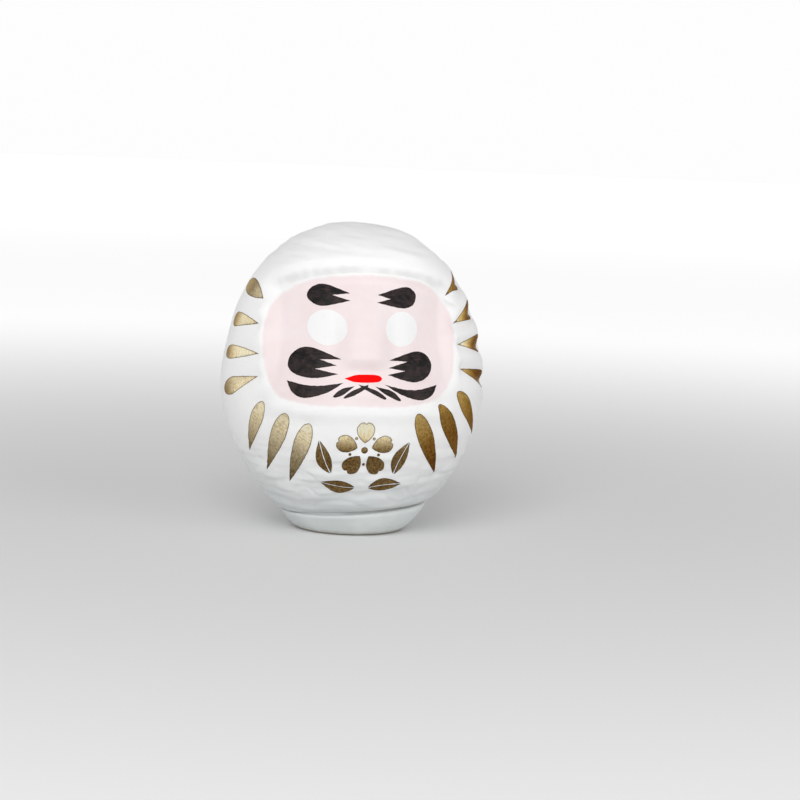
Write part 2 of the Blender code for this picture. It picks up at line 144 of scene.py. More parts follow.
CHIN_ACROSS = (-22, 22, 8)

# The features of the front run out where the cosine of the angle from the nose falls over this band.
FRONT_BAND = (0.0, 0.4)

# Outlines as seen from the front: (x, height) in order round the shape, and a 1 after each corner.
FACE_OUTLINE = (
    (-28.8, 57), (-27.6, 64.4), (-23.8, 70), (-15, 75.2), (0, 77.2), (15, 75.8), (22.6, 71.2),
    (26.3, 65), (27.2, 57.5), (26.4, 49), (23.6, 43.6), (17, 40.6), (-2, 39.8), (-19, 40),
    (-25.8, 43.4), (-28.3, 50),
)
INK_OUTLINES = {
    "brow_left": (
        (-16, 70.5), (-14.4, 72.8), (-11, 73.6), (-4.2, 71.4, 1), (-9.2, 70.7, 1), (-4.2, 69.4, 1),
        (-11.6, 67.6), (-15, 68.6),
    ),
    "brow_right": (
        (3.6, 71.2, 1), (11.4, 73.4), (14.2, 72.4), (14.9, 70.6), (13.8, 68.4), (10.5, 67.6),
        (3.3, 69.1, 1), (7.4, 70.1, 1),
    ),
    "cheek_whisker_left": (
        (-21.2, 51.2), (-19.4, 54.6), (-15, 56.1), (-6.6, 53.3, 1), (-12.6, 53, 1), (-7.9, 51.6, 1),
        (-13.9, 50.4, 1), (-7.4, 49.2, 1), (-14, 47.8), (-19.4, 48.6),
    ),
    "cheek_whisker_right": (
        (6.8, 53.4, 1), (14.2, 55.7), (18, 54.6), (19.4, 51.6), (17.8, 48.6), (13.6, 47.4),
        (6.4, 49.4, 1), (11.5, 50.5, 1), (6.6, 51.3, 1), (12.1, 53, 1),
    ),
    "moustache_left": (
        (-21.4, 46.6, 1), (-17, 45.8), (-12.4, 45.8), (-5.9, 46.9, 1), (-10.6, 44), (-16.6, 42.2),
        (-20, 43.6),
    ),
    "moustache_right": (
        (5.6, 46.7, 1), (11, 45.5), (15.4, 45.3), (21, 46.4, 1), (19.6, 43.8), (16.2, 42.4),
        (10.6, 43.9),
    ),
    "chin_stroke_left": ((-2.9, 46.1, 1), (-6.4, 45.2), (-8.7, 43.4), (-8.3, 42.8), (-6, 43.7)),
    "chin_stroke_crossed": (
        (-5.5, 42.7), (-5.7, 43.2), (-3.6, 44.8), (-1, 45.9, 1), (-1.8, 46.6, 1), (-0.2, 46.2, 1),
        (1, 46.6, 1), (0.9, 45.9, 1), (3.8, 44.8), (5.9, 43.2), (5.5, 42.7), (2.6, 44.0), (0, 45.3, 1),
        (-2.6, 43.8),
    ),
    "chin_stroke_right": ((3, 46.1, 1), (5.6, 44.2), (9.6, 42.3), (10.1, 42.8), (7.6, 45.0)),
}
MOUTH_OUTLINE = (
    (-5.7, 48.1, 1), (-2.2, 49.2), (3.2, 49.3), (4.8, 48.3), (3.2, 47.3), (-2.6, 47.2),
)
EYES = {"left": ((-10.5, 61.8), (5.4, 4.9)), "right": ((10.5, 61.9), (4.7, 4.8))}

BLOSSOM_CENTRE = (0.8, 27.9)
BLOSSOM_RADIUS = 8.2
CREST_LEAVES = {
    "lower_left": ((-1.2, 16.4), (-10.6, 17.6), 3.6),
    "upper_left": ((-8.2, 20.6), (-12.0, 30.2), 3.8),
    "lower_right": ((2.8, 16.4), (12.2, 17.6), 3.6),
    "upper_right": ((9.8, 20.6), (13.6, 30.2), 3.8),
}

# ---- small maths ----


def ramp(value, start, end):
    """0 up to start, 1 from end on, and smooth between them."""
    t = np.clip((value - start) / (end - start), 0.0, 1.0)
    return t * t * (3 - 2 * t)


def plateau(value, low, high, soft):
    """1 between low and high, falling to 0 over the distance soft outside them."""
    return ramp(value, low - soft, low) * (1 - ramp(value, high, high + soft))


def hump(distance, width):
    return np.exp(-((distance / width) ** 2))


GRADIENTS = np.random.default_rng(7).normal(size=(256, 3))
GRADIENTS /= np.linalg.norm(GRADIENTS, axis=1)[:, None]
SHUFFLE = np.random.default_rng(11).permutation(256)


def noise(points, seed=0):
    """Smooth noise from about -1 to 1 with features about one unit across."""
    cell = np.floor(points).astype(int)
    inside = points - cell
    fade = inside**3 * (inside * (inside * 6 - 15) + 10)
    total = np.zeros(len(points))
    for corner in itertools.product((0, 1), repeat=3):
        spot = cell + np.array(corner)
        key = SHUFFLE[(spot[:, 0] + 37 * seed) & 255]
        key = SHUFFLE[(key + spot[:, 1]) & 255]
        key = SHUFFLE[(key + spot[:, 2]) & 255]
        weight = np.prod(np.where(corner, fade, 1 - fade), axis=1)
        total += weight * ((inside - np.array(corner)) * GRADIENTS[key]).sum(1)
    return 1.7 * total


# ---- the doll's surface ----


def polar_profile():
    """The profile's points as (latitude, distance from the heart), from the lowest up."""
    points = [(math.atan2(h - HEART_Z, r), math.hypot(r, h - HEART_Z)) for r, h in EGG_PROFILE]
    return np.array(sorted(points))


POLAR = polar_profile()
POLAR_SLOPES = np.zeros(len(POLAR))
POLAR_SLOPES[1:-1] = (POLAR[2:, 1] - POLAR[:-2, 1]) / (POLAR[2:, 0] - POLAR[:-2, 0])


def egg_distance(latitude):
    """Distance from the heart to the turned egg, by a cubic through the profile's points."""
    i = np.clip(np.searchsorted(POLAR[:, 0], latitude) - 1, 0, len(POLAR) - 2)
    step = POLAR[i + 1, 0] - POLAR[i, 0]
    t = np.clip((latitude - POLAR[i, 0]) / step, 0, 1)
    rise = (POLAR_SLOPES[i] * t * (1 - t) ** 2 - POLAR_SLOPES[i + 1] * t * t * (1 - t)) * step
    return POLAR[i, 1] + (POLAR[i + 1, 1] - POLAR[i, 1]) * t * t * (3 - 2 * t) + rise


def latitude_at(height):
    """Latitude of the turned egg at a height."""
    latitudes = np.linspace(-math.pi / 2, math.pi / 2, 4001)
    return float(np.interp(height, HEART_Z + egg_distance(latitudes) * np.sin(latitudes), latitudes))


def segment_distance(arc, height, start, end):
    """Distance from points on the unrolled side to the segment from start to end."""
    run, climb = end[0] - start[0], end[1] - start[1]
    t = ((arc - start[0]) * run + (height - start[1]) * climb) / (run * run + climb * climb)
    t = np.clip(t, 0, 1)
    return np.hypot(arc - start[0] - t * run, height - start[1] - t * climb)


def groove_depth(degrees, height, radius):
    """How far the paper dips under the stripes."""
    arc = np.radians(degrees) * radius
    depth = np.zeros(len(arc))
    for side in ("left", "right"):
        fade = 1 - ramp(np.abs(degrees), *GROOVE_FADE[side])
        upper, lower = UPPER_GROOVE[side], np.full(len(arc), LOWER_GROOVE)
        for stripes, deep in ((UPPER_STRIPES, upper * fade), (LOWER_STRIPES, lower)):
            for stripe in stripes[side]:
                ends = [(np.radians(a) * radius, h) for a, h in stripe[:2]]
                depth += deep * hump(segment_distance(arc, height, *ends), GROOVE_WIDTH[side])
    return depth


LIP_PINCH = 1.0  # how far the paper turns in above the seam
LIP_FADES = 0.6  # how much less it does so on the left
LIP_FADES_OVER = (-65, -20)  # between these degrees from the nose
LIP_ROUNDING = 2.6  # how far above the seam it begins to turn in
LIP_SMOOTHED = 4.0  # the paper is worked smoother than elsewhere this far above the seam
LIP_LUMPS = 0.35  # the share of its unevenness that is left at the seam
SEAM_TILT = 1.7  # the hand-laid seam is this much higher on the right than in the middle
SEAM_WAVES = ((0.2, 1.4, 8), (0.08, 4.0, 9))  # height, waves for each radian, seed

# Unevenness of the pasted paper. Lumps are (height, size, seed), folds (height, wide, tall, seed).
LUMPS = ((0.20, 14, 1), (0.10, 7, 2))
FINE_LUMPS = ((1.0, 3.2, 3),)
FINE_HEIGHT = 0.035
FINE_HEIGHT_BELOW = 0.05  # how much higher they are on the belly
CROWN_BAND = (76, 82)
CROWN_FOLDS = ((0.38, 18, 3.2, 4), (0.26, 10, 1.5, 5))
CROWN_CLIMB = 0.16  # how steeply the folds climb to the left
BELLY_BAND = (18, 34)
BELLY_FOLDS = ((0.58, 17, 3.4, 6), (0.28, 7, 1.5, 7))
BELLY_CLIMB = -0.08
CREASES = ((1.0, 9, 4.5, 8),)
CREASE_DEPTH = 0.22
CREASE_BAND = (0.82, 1.0)
FACE_SMOOTHED = 0.65  # how much of all this is worked out of the face


def seam_height(around):
    """Height of the seam, which is tilted and a little wavy."""
    circle = np.stack((np.sin(around), np.cos(around), np.zeros(len(around))), axis=1)
    wave = sum(height * noise(circle * often, seed) for height, often, seed in SEAM_WAVES)
    return SEAM_Z + SEAM_TILT * np.sin(around) + wave


def lip_strength(around):
    """How marked the lip is: the clay runs on almost flush at the left."""
    return 1 - LIP_FADES * (1 - ramp(np.degrees(around), *LIP_FADES_OVER))


def mound(x, z, centre, size):
    """A rounded rise of height 1 on both sides of the face."""
    return hump(np.abs(x) - centre[0], size[0]) * hump(z - centre[1], size[1])


def relief(around, latitude, distance):
    """Height of the moulded features over the turned egg, and how much a point is in the face."""
    radius = distance * np.cos(latitude)
    x = radius * np.sin(around)
    z = HEART_Z + distance * np.sin(latitude)
    degrees = np.degrees(around)
    height = SIDES_HEIGHT * plateau(np.abs(degrees), *SIDES_AROUND) * plateau(z, *SIDES_BAND)
    height -= groove_depth(degrees, z, radius)
    arch = HOOD_ARCH * x * x
    face = plateau(x, *FACE_ACROSS) * ramp(z, *FACE_CHIN_EDGE) * (1 - ramp(z + arch, *FACE_BROW_EDGE))
    front = -face * (FACE_DEPTH + FACE_SINKS * ramp(z, *FACE_SINKS_OVER))
    above_hood = z - HOOD_Z + arch
    hooded = plateau(x, *HOOD_ACROSS)
    front += HOOD_HEIGHT * hump(above_hood, HOOD_WIDTH) * hooded
    front -= UNDERCUT_DEPTH * hump(above_hood + UNDERCUT_DROP, UNDERCUT_WIDTH) * hooded
    nose = (NOSE_TIP - NOSE_SLOPE * ramp(z, *NOSE_SLOPE_BAND)) * plateau(x, *NOSE_ACROSS)
    front += nose * ramp(z, *NOSE_TIP_BAND) * (1 - ramp(z, *NOSE_ROOT_BAND))
    front -= SOCKET_DEPTH * mound(x, z, SOCKET_CENTRE, SOCKET_SIZE)
    front += CHEEK_HEIGHT * mound(x, z, CHEEK_CENTRE, CHEEK_SIZE)
    front += CHIN_HEIGHT * hump(z - CHIN_Z, CHIN_WIDTH) * plateau(x, *CHIN_ACROSS)
    facing = ramp(np.cos(around), *FRONT_BAND)
    return height + front * facing, face * facing


def bumps(points, sizes):
    """Round swellings, as a sum of noises."""
    return sum(height * noise(points / size, seed) for height, size, seed in sizes)


def folds(points, climb, sizes):
    """Long, almost level swellings, such as overlapping strips of pasted paper leave."""
    tilted = points + np.array((0, 0, climb)) * points[:, :1]
    return sum(
        height * noise(tilted / np.array((wide, wide, tall)), seed)
        for height, wide, tall, seed in sizes
    )


def paper_lumps(points, face):
    """The unevenness of pasted paper under thick paint: lumps, level folds and small creases."""
    z = points[:, 2]
    crown = ramp(z, *CROWN_BAND)
    belly = 1 - ramp(z, *BELLY_BAND)
    lumps = bumps(points, LUMPS)
    lumps += (FINE_HEIGHT + FINE_HEIGHT_BELOW * belly) * bumps(points, FINE_LUMPS)
    lumps += crown * folds(points, CROWN_CLIMB, CROWN_FOLDS)
    lumps += belly * folds(points, BELLY_CLIMB, BELLY_FOLDS)
    crease = 1 - np.abs(folds(points, 0.0, CREASES))
    lumps -= CREASE_DEPTH * belly * ramp(crease, *CREASE_BAND)
    return lumps * (1 - FACE_SMOOTHED * face)


HEART = np.array((0, 0, HEART_Z))


def heading(around, latitude):
    """Directions out of the doll's heart."""
    return np.stack((
        np.cos(latitude) * np.sin(around),
        -np.cos(latitude) * np.cos(around) * DEPTH_SHARE,
        np.sin(latitude),
    ), axis=1)


def skin(around, latitude):
    """Surface points at longitudes and latitudes in radians, and the paper's unevenness there."""
    distance = egg_distance(latitude)
    height, face = relief(around, latitude, distance)
    unit = heading(around, latitude)
    smooth = HEART + unit * (distance + height)[:, None]
    above_seam = smooth[:, 2] - seam_height(around)
    left = LIP_LUMPS + (1 - LIP_LUMPS) * ramp(above_seam, 0, LIP_SMOOTHED)
    lumps = paper_lumps(smooth, face) * left
    pinch = LIP_PINCH * lip_strength(around)
    pinch *= (1 - ramp(above_seam, 0, LIP_ROUNDING)) ** 2
    return smooth + unit * (lumps - pinch)[:, None], lumps


# ---- meshes ----


SHARP_EDGE = 50  # edges that bend more than these degrees are shaded sharp


def make_piece(name, vertices, faces, look, attributes):
    """A mesh object from millimetre vertices, with float vectors stored on its points."""
    mesh = bpy.data.meshes.new(name)
    mesh.from_pydata((np.asarray(vertices) * MM).tolist(), [], faces)
    for key, values in attributes.items():
        layer = mesh.attributes.new(key, "FLOAT_VECTOR", "POINT")
        layer.data.foreach_set("vector", np.asarray(values, np.float32).ravel())
    mesh.shade_smooth()
    mesh.set_sharp_from_angle(angle=math.radians(SHARP_EDGE))
    mesh.materials.append(look)
    piece = bpy.data.objects.new(name, mesh)
    bpy.context.scene.collection.objects.link(piece)
    return piece


def closed_rings(rings, first, last):
    """Vertices and faces of a solid: rings of equal size, from the point first to the point last.
    Rings run anticlockwise seen from above, and go from the top of the outer side downwards."""
    around = len(rings[0])
    vertices = np.concatenate((*rings, [first], [last]))
    faces = []
    for row in range(len(rings) - 1):
        upper = row * around
        lower = upper + around
        for i in range(around):
            j = (i + 1) % around
            faces.append((upper + i, lower + i, lower + j, upper + j))
    top, bottom, base = len(vertices) - 2, len(vertices) - 1, (len(rings) - 1) * around
    for i in range(around):
        j = (i + 1) % around
        faces.append((top, i, j))
        faces.append((bottom, base + j, base + i))
    return vertices, faces


def crowded(around):
    """Longitudes with more of them near the face."""
    turns = np.linspace(-math.pi, math.pi, around, endpoint=False)
    return turns - FRONT_CROWDING * np.sin(turns)


# ---- materials ----


CHALK = (0.87, 0.865, 0.862)
CHALK_SHADE = (0.845, 0.842, 0.842)
FOOT_SHADE = (0.60, 0.64, 0.64)  # painted shade: what the white greys to towards the foot
# the grey of the painted shade in the paper's dips, under the hood and above the seam
SHADE_GREY = (0.56, 0.57, 0.56)
PINK_DEEP, PINK_PALE = (0.80, 0.685, 0.69), (0.825, 0.73, 0.73)
CLAY, CLAY_SHADE = (0.72, 0.75, 0.745), (0.64, 0.675, 0.67)
CLAY_WORN = (0.52, 0.49, 0.43)
INK, INK_BROWN = (0.004, 0.0035, 0.004), (0.030, 0.019, 0.019)
INK_STREAK = (0.055, 0.036, 0.034)
INK_EDGE = (0.020, 0.009, 0.008)
RED, RED_DEEP = (0.90, 0.0, 0.0), (0.82, 0.0, 0.0)
EYE, EYE_SHADE = (0.84, 0.84, 0.84), (0.82, 0.82, 0.82)
GOLD_EDGE = (0.10, 0.06, 0.03)
GLUE_DARK, GLUE_PALE = (0.52, 0.38, 0.19), (0.70, 0.58, 0.36)
FLOOR_GREY, FLOOR_PALE = (0.77, 0.77, 0.77), (0.79, 0.79, 0.79)

# Gold's colour for each painted reflection tone, from dark bronze to pale gold: greenish on the left,
# warm on the right, where a warm reflection is painted in.
OLIVE_GOLD = (
    (0.05, (0.080, 0.048, 0.020)), (0.2, (0.22, 0.165, 0.080)), (0.42, (0.50, 0.41, 0.26)),
    (0.7, (0.93, 0.80, 0.52)), (0.95, (1.0, 0.97, 0.76)),
)
WARM_GOLD = (
    (0.05, (0.13, 0.045, 0.008)), (0.2, (0.28, 0.15, 0.030)), (0.42, (0.56, 0.38, 0.13)),
    (0.7, (0.95, 0.76, 0.38)), (0.95, (1.0, 0.97, 0.74)),
)
GRAZING_GOLD = (0.62, 0.44, 0.24, 1)  # its tint where it is seen edge on


class Look:
    """A procedural material on one Principled shader, patterned in object space."""

    def __init__(self, name, roughness, specular=0.5, metallic=0.0, sheen=0.0):
        self.material = bpy.data.materials.new(name)
        self.material.use_nodes = True
        self.tree = self.material.node_tree
        self.shader = self.tree.nodes["Principled BSDF"]
        values = {
            "Roughness": roughness, "Specular IOR Level": specular, "Metallic": metallic,
            "Sheen Weight": sheen, "Sheen Roughness": 0.6,
        }
        for key, value in values.items():
            self.shader.inputs[key].default_value = value
        self.place = self.node("TexCoord").outputs["Object"]

    def feed(self, socket, value):
        if isinstance(value, bpy.types.NodeSocket):
            self.tree.links.new(value, socket)
        elif socket.type == "RGBA":
            socket.default_value = (*value, 1)
        else:
            socket.default_value = value

    def node(self, kind, inputs=None, **settings):
        made = self.tree.nodes.new("ShaderNode" + kind)
        for key, value in settings.items():
            setattr(made, key, value)
        for key, value in (inputs or {}).items():
            self.feed(made.inputs[key], value)
        return made

    def attribute(self, name):
        return self.node("Attribute", attribute_name=name).outputs["Vector"]

    def part(self, vector, axis):
        return self.node("SeparateXYZ", {0: vector}).outputs[axis]

    def noise(self, size, detail=3.0, stretch=(1, 1, 1), where=None, rough=0.55):
        """Noise with features size metres across, longer along the axes that stretch names."""
        scale = [1 / (size * s) for s in stretch]
        spread = self.node("VectorMath", {0: where or self.place, 1: scale}, operation="MULTIPLY")
        inputs = {"Vector": spread.outputs[0], "Scale": 1.0, "Detail": detail, "Roughness": rough}
        return self.node("TexNoise", inputs).outputs[0]

    def span(self, value, low, high, to_low=0.0, to_high=1.0):
        """value from low to high, taken to to_low to to_high and held there beyond."""
        inputs = {"Value": value, 1: low, 2: high, 3: to_low, 4: to_high}
        return self.node("MapRange", inputs, interpolation_type="SMOOTHSTEP").outputs[0]

    def shades(self, value, stops):
        """A colour for each value, between the stops' colours."""
        made = self.node("ValToRGB", {0: value})
        elements = made.color_ramp.elements
        while len(elements) < len(stops):
            elements.new(0.5)
        for element, (place, colour) in zip(elements, stops):
            element.position = place
            element.color = (*colour, 1)
        return made.outputs[0]

    def maths(self, operation, a, b=0.0):
        return self.node("Math", {0: a, 1: b}, operation=operation).outputs[0]

    def mix(self, share, a, b):
        """The colour a where share is 0, and b where it is 1."""
        return self.node("Mix", {0: share, 6: a, 7: b}, data_type="RGBA").outputs[2]

    def bump(self, height, distance, strength=1.0, under=None):
        inputs = {"Height": height, "Distance": distance, "Strength": strength}
        if under is not None:
            inputs["Normal"] = under
        return self.node("Bump", inputs).outputs[0]

    def finish(self, colour, roughness=None, normal=None):
        self.feed(self.shader.inputs["Base Color"], colour)
        if roughness is not None:
            self.feed(self.shader.inputs["Roughness"], roughness)
        if normal is not None:
            self.feed(self.shader.inputs["Normal"], normal)
        return self.material


def chalk_surface(look, light, shade):
    """Colour, roughness and normal of brushed chalk paint between a light and a shaded tint."""
    cloud = look.span(look.noise(0.016, 4), 0.35, 0.65)
    colour = look.mix(cloud, shade, light)
    specks = look.span(look.noise(0.0011, 2), 0.66, 0.74, 0.0, 0.35)
    colour = look.mix(specks, colour, tuple(c * 0.86 for c in shade))
    brushed = look.noise(0.0011, 4, stretch=(9, 9, 1))
    grain = look.noise(0.00045, 3)
    normal = look.bump(brushed, 0.00009, 0.5)
    normal = look.bump(grain, 0.00005, 0.5, under=normal)
    roughness = look.span(look.noise(0.004, 3), 0.3, 0.7, 0.62, 0.82)
    return colour, roughness, normal


def chalk_look():
    """White shell paint with painted shade: greyer near the foot, darker in dips, under the hood, at the
    seam.
    """
    look = Look("chalk_white_paint", 0.7, specular=0.35, sheen=0.05)
    colour, roughness, normal = chalk_surface(look, CHALK, CHALK_SHADE)
    uneven = look.span(look.noise(0.012, 3), 0, 1, -0.006, 0.006)
    height = look.maths("ADD", look.part(look.place, 2), uneven)
    # painted shade: the white greys towards the foot
    colour = look.mix(look.span(height, 0.004, 0.034, 0.85, 0.0), colour, FOOT_SHADE)
    # painted shade carried on the shell's points: in the paper's dips, under the hood and above the seam
    shade_share = look.part(look.attribute("shade_share"), 0)
    colour = look.mix(look.span(shade_share, 0.3, 1.0, 0.0, 0.45), colour, SHADE_GREY)
    return look.finish(colour, roughness, normal)


def coat_look():
    """Pink face coat that thins out to the white under it near its edge."""
    look = Look("face_pink_paint", 0.66, specular=0.3, sheen=0.05)
    white, roughness, normal = chalk_surface(look, CHALK, CHALK_SHADE)
    cloud = look.span(look.noise(0.011, 3), 0.3, 0.7)
    pink = look.mix(cloud, PINK_DEEP, PINK_PALE)
    edge = look.part(look.attribute("stroke"), 2)
    ragged = look.maths("ADD", edge, look.span(look.noise(0.004, 3), 0.3, 0.7, -0.25, 0.25))
    return look.finish(look.mix(look.span(ragged, 0.1, 1.3), white, pink), roughness, normal)


def clay_look():
    """The weight, greyer than the shell's white, and worn to the clay at the edge of its foot."""
    look = Look("base_clay_paint", 0.7, specular=0.35)
    colour, roughness, normal = chalk_surface(look, CLAY, CLAY_SHADE)
    height = look.part(look.place, 2)
    worn = look.maths("ADD", look.maths("MULTIPLY", height, 900), look.noise(0.004, 4))
    colour = look.mix(look.span(worn, 0.4, 2.2), CLAY_WORN, colour)
    return look.finish(colour, roughness, normal)


def ink_look():
    """Mottled black ink with brush streaks and a thinner edge."""
    look = Look("ink_black_paint", 0.5, specular=0.22)
    stroke = look.attribute("stroke")
    mottled = look.noise(0.0022, 4)
    streaks = look.noise(1.0, 3, stretch=(7, 0.45, 1), where=stroke)
    colour = look.mix(look.span(mottled, 0.35, 0.65), INK, INK_BROWN)
    colour = look.mix(look.span(streaks, 0.5, 0.75, 0.0, 0.6), colour, INK_STREAK)
    thin = look.span(look.part(stroke, 2), 0.05, 0.4, 0.6, 0.0)
    colour = look.mix(thin, colour, INK_EDGE)
    normal = look.bump(streaks, 0.00004, 0.6)
    return look.finish(colour, look.span(mottled, 0.3, 0.7, 0.42, 0.62), normal)


def lip_look():
    look = Look("lip_red_paint", 0.55, specular=0.06)
    streaks = look.noise(1.0, 3, stretch=(6, 0.5, 1), where=look.attribute("stroke"))
    colour = look.mix(look.span(streaks, 0.35, 0.7), RED, RED_DEEP)
    return look.finish(colour, None, look.bump(streaks, 0.00004, 0.5))


def eye_look():
    look = Look("eye_white_paint", 0.66, specular=0.3)
    return look.finish(*chalk_surface(look, EYE, EYE_SHADE))


def gilt_look():
    """Brushed gold paint with painted reflections, dark to pale along each stroke, and fine brush lines
    across it.
    """
    look = Look("gilt_paint", 0.35, metallic=0.85)
    look.shader.inputs["Specular Tint"].default_value = GRAZING_GOLD
    stroke = look.attribute("stroke")
    across = look.noise(1.0, 3, stretch=(0.35, 4.5, 1), where=stroke, rough=0.45)
    along = look.noise(1.0, 3, stretch=(0.9, 0.7, 1), where=stroke, rough=0.5)
    grain = look.noise(0.0003, 2)
    # painted reflections: dark bronze to pale gold by tone, and olive to warm by the painted warm
    # reflection
    reflection_tone = look.attribute("reflection_tone")
    shine = look.span(look.part(reflection_tone, 0), 0.4, 0.9, 0.03, 0.17)
    lines = look.maths("MULTIPLY", look.span(across, 0.3, 0.7, -1.0, 1.0), shine)
    level = look.maths("ADD", look.part(reflection_tone, 0), lines)
    level = look.maths("ADD", level, look.span(along, 0.3, 0.7, -0.06, 0.06))
    level = look.maths("ADD", level, look.span(grain, 0.3, 0.7, -0.05, 0.05))
    olive, warm = look.shades(level, OLIVE_GOLD), look.shades(level, WARM_GOLD)
    colour = look.mix(look.part(reflection_tone, 1), olive, warm)
    edge = look.maths("ADD", look.part(stroke, 2), look.span(grain, 0.3, 0.7, -0.06, 0.06))
    colour = look.mix(look.span(edge, 0.06, 0.32, 0.85, 0.0), colour, GOLD_EDGE)
    roughness = look.span(along, 0.3, 0.7, 0.28, 0.5)
    normal = look.bump(across, 0.00004, 0.6)
    return look.finish(colour, roughness, look.bump(along, 0.00006, 0.6, under=normal))


def glue_look():
    look = Look("dried_glue_drips", 0.4, specular=0.5)
    blobs = look.noise(0.004, 4)
    colour = look.mix(look.span(blobs, 0.3, 0.7), GLUE_DARK, GLUE_PALE)
    return look.finish(colour, None, look.bump(blobs, 0.0003, 0.6))


# ---- shell and weight ----


# Painted shade on the shell: darker in the paper's dips, under the hood's edge and just above the seam.
SHADE_IN_DIPS = 0.65  # the most painted shade in a dip
DARKEST_DIP = 0.45  # a dip this deep gets all of it
HOOD_SHADE_Z = 77.9
HOOD_SHADE_WIDTH = 2.1
HOOD_SHADE_BAND = (0.3, 0.6)  # as FRONT_BAND, for the painted shade under the hood
HOOD_SHADE = 0.85
PATCHY_SHADE = ((0.35, 2.6, 9),)
SEAM_SHADE_BAND = (0.3, 2.6)  # the painted shade above the seam runs out this far above it


def painted_shade(points, lumps, around):
    """How much painted shade a point gets: most in the paper's dips, under the hood and above the seam.
    """
    x, z = points[:, 0], points[:, 2]
    painted_shades = SHADE_IN_DIPS * np.clip(-lumps / DARKEST_DIP, 0, 1)
    hood = hump(z + HOOD_ARCH * x * x - HOOD_SHADE_Z, HOOD_SHADE_WIDTH) * plateau(x, *HOOD_ACROSS)
    hood *= ramp(np.cos(around), *HOOD_SHADE_BAND) * (HOOD_SHADE + bumps(points, PATCHY_SHADE))
    seam = 1 - ramp(z - seam_height(around), *SEAM_SHADE_BAND)
    return np.clip(np.maximum(np.maximum(painted_shades, hood), seam * lip_strength(around)), 0, 1)


LIP_STEPS = ((0.25, 0.3), (0.65, 0.42), (1.5, 0.35))  # how far in and down its lip's rings lie


def make_shell():
    """The paper body, with a rounded lip at the seam. Returns its outside, to paint on."""
    around = crowded(SHELL_AROUND)
    seam = np.array([latitude_at(height) for height in seam_height(around)])
    rings, painted_shades = [], []
    for share in np.linspace(0, 1, SHELL_UP + 1)[1:]:
        points, lumps = skin(around, math.pi / 2 + (seam - math.pi / 2) * share)
        rings.append(points)
        painted_shades.append(painted_shade(points, lumps, around))
    for inward, down in LIP_STEPS:
        lip = rings[SHELL_UP - 1].copy()
        reach = np.linalg.norm(lip[:, :2], axis=1)[:, None]
        lip[:, :2] *= (reach - inward) / reach
        lip[:, 2] -= down
        rings.append(lip)
        # the lip, turning in above the seam, gets full painted shade
        painted_shades.append(np.ones(SHELL_AROUND))
    for share in np.linspace(0, 1, INNER_UP + 1)[:-1]:
        latitude = seam + (math.pi / 2 - seam) * share
        distance = egg_distance(latitude)
        height, _ = relief(around, latitude, distance)
        rings.append(HEART + heading(around, latitude) * (distance + height - WALL)[:, None])
        painted_shades.append(np.zeros(SHELL_AROUND))
    crown, _ = skin(np.zeros(1), np.full(1, math.pi / 2))
    inside = crown[0] - np.array((0, 0, WALL))
    vertices, faces = closed_rings(rings, crown[0], inside)
    shade_share = np.zeros((len(vertices), 3))
    shade_share[:-2, 0] = np.concatenate(painted_shades)
    shell = make_piece("daruma_shell", vertices, faces, chalk_look(), {"shade_share": shade_share})
    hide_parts("paper_shell")
    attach(shell, "root")
    outer = SHELL_AROUND * (SHELL_UP - 1)
    polygons = [f for f in faces if max(f) < outer]
    return BVHTree.FromPolygons(vertices.tolist(), polygons)


# The weight's outside from its top down: share of the way from foot to rim, share of its height.
BASE_SIDE = (
    (0.88, 1.0), (0.93, 0.985), (0.962, 0.945), (0.968, 0.885), (0.945, 0.81), (0.89, 0.71), (0.82, 0.59),
    (0.735, 0.45), (0.63, 0.3), (0.5, 0.14), (0.38, 0.05), (0.25, 0.012), (0.1, 0.0),
)
RIM_INSET = 0.7  # how far the rim lies inside the turned egg at the seam
RIM_FLUSH = 0.4  # the share of that which is left where the lip is flush
RIM_DROP = 0.2  # how far below the seam it stops
SPIGOT_EDGE = ((1.2, 0.0), (0.3, 0.3), (0.0, 1.2))  # how far in and down its rounded edge lies
SPIGOT_FOOT = 2.6  # how far above the seam the spigot's straight side begins
FOOT_RINGS = (9.0, 5.0, 2.0)
BASE_LUMPS = ((0.17, 7.5, 12), (0.07, 2.6, 13))
FOOT_KEPT, RIM_KEPT = 1.5, 0.4  # the lumps run out over these heights at the foot and the rim


def make_base():
    """The clay weight: spigot inside the mouth, rounded side, flat foot with softened edge."""
    around = np.linspace(-math.pi, math.pi, BASE_AROUND, endpoint=False)
    direction = np.stack((np.sin(around), -np.cos(around) * DEPTH_SHARE), axis=1)
    seam = seam_height(around)
    latitude = np.array([latitude_at(height) for height in seam])
    inset = RIM_INSET * (RIM_FLUSH + (1 - RIM_FLUSH) * lip_strength(around))
    overhang = egg_distance(latitude) * np.cos(latitude) - inset - FOOT_RADIUS
    outline = [(SPIGOT_RADIUS - inward, SPIGOT_TOP_Z - down) for inward, down in SPIGOT_EDGE]
    outline.append((SPIGOT_RADIUS, SEAM_Z + SPIGOT_FOOT))
    for out, up in smoothed(BASE_SIDE):
        outline.append((FOOT_RADIUS + overhang * out, (seam - RIM_DROP) * up))
    outline += [(radius, 0.0) for radius in FOOT_RINGS]
    rings = []
    for radius, height in outline:
        level = np.zeros(BASE_AROUND) + height
        ring = np.column_stack((direction * np.reshape(radius, (-1, 1)), level))
        worked = ramp(level, 0.0, FOOT_KEPT) * (1 - ramp(level, seam - RIM_KEPT, seam))
        ring[:, :2] += direction * (worked * bumps(ring, BASE_LUMPS))[:, None]
        rings.append(ring)
    ends = (np.array((0, 0, SPIGOT_TOP_Z)), np.array((0, 0, 0.0)))
    vertices, faces = closed_rings(rings, *ends)
    base = make_piece("clay_base", vertices, faces, clay_look(), {})
    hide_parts("base_weight")
    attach(base, "root")


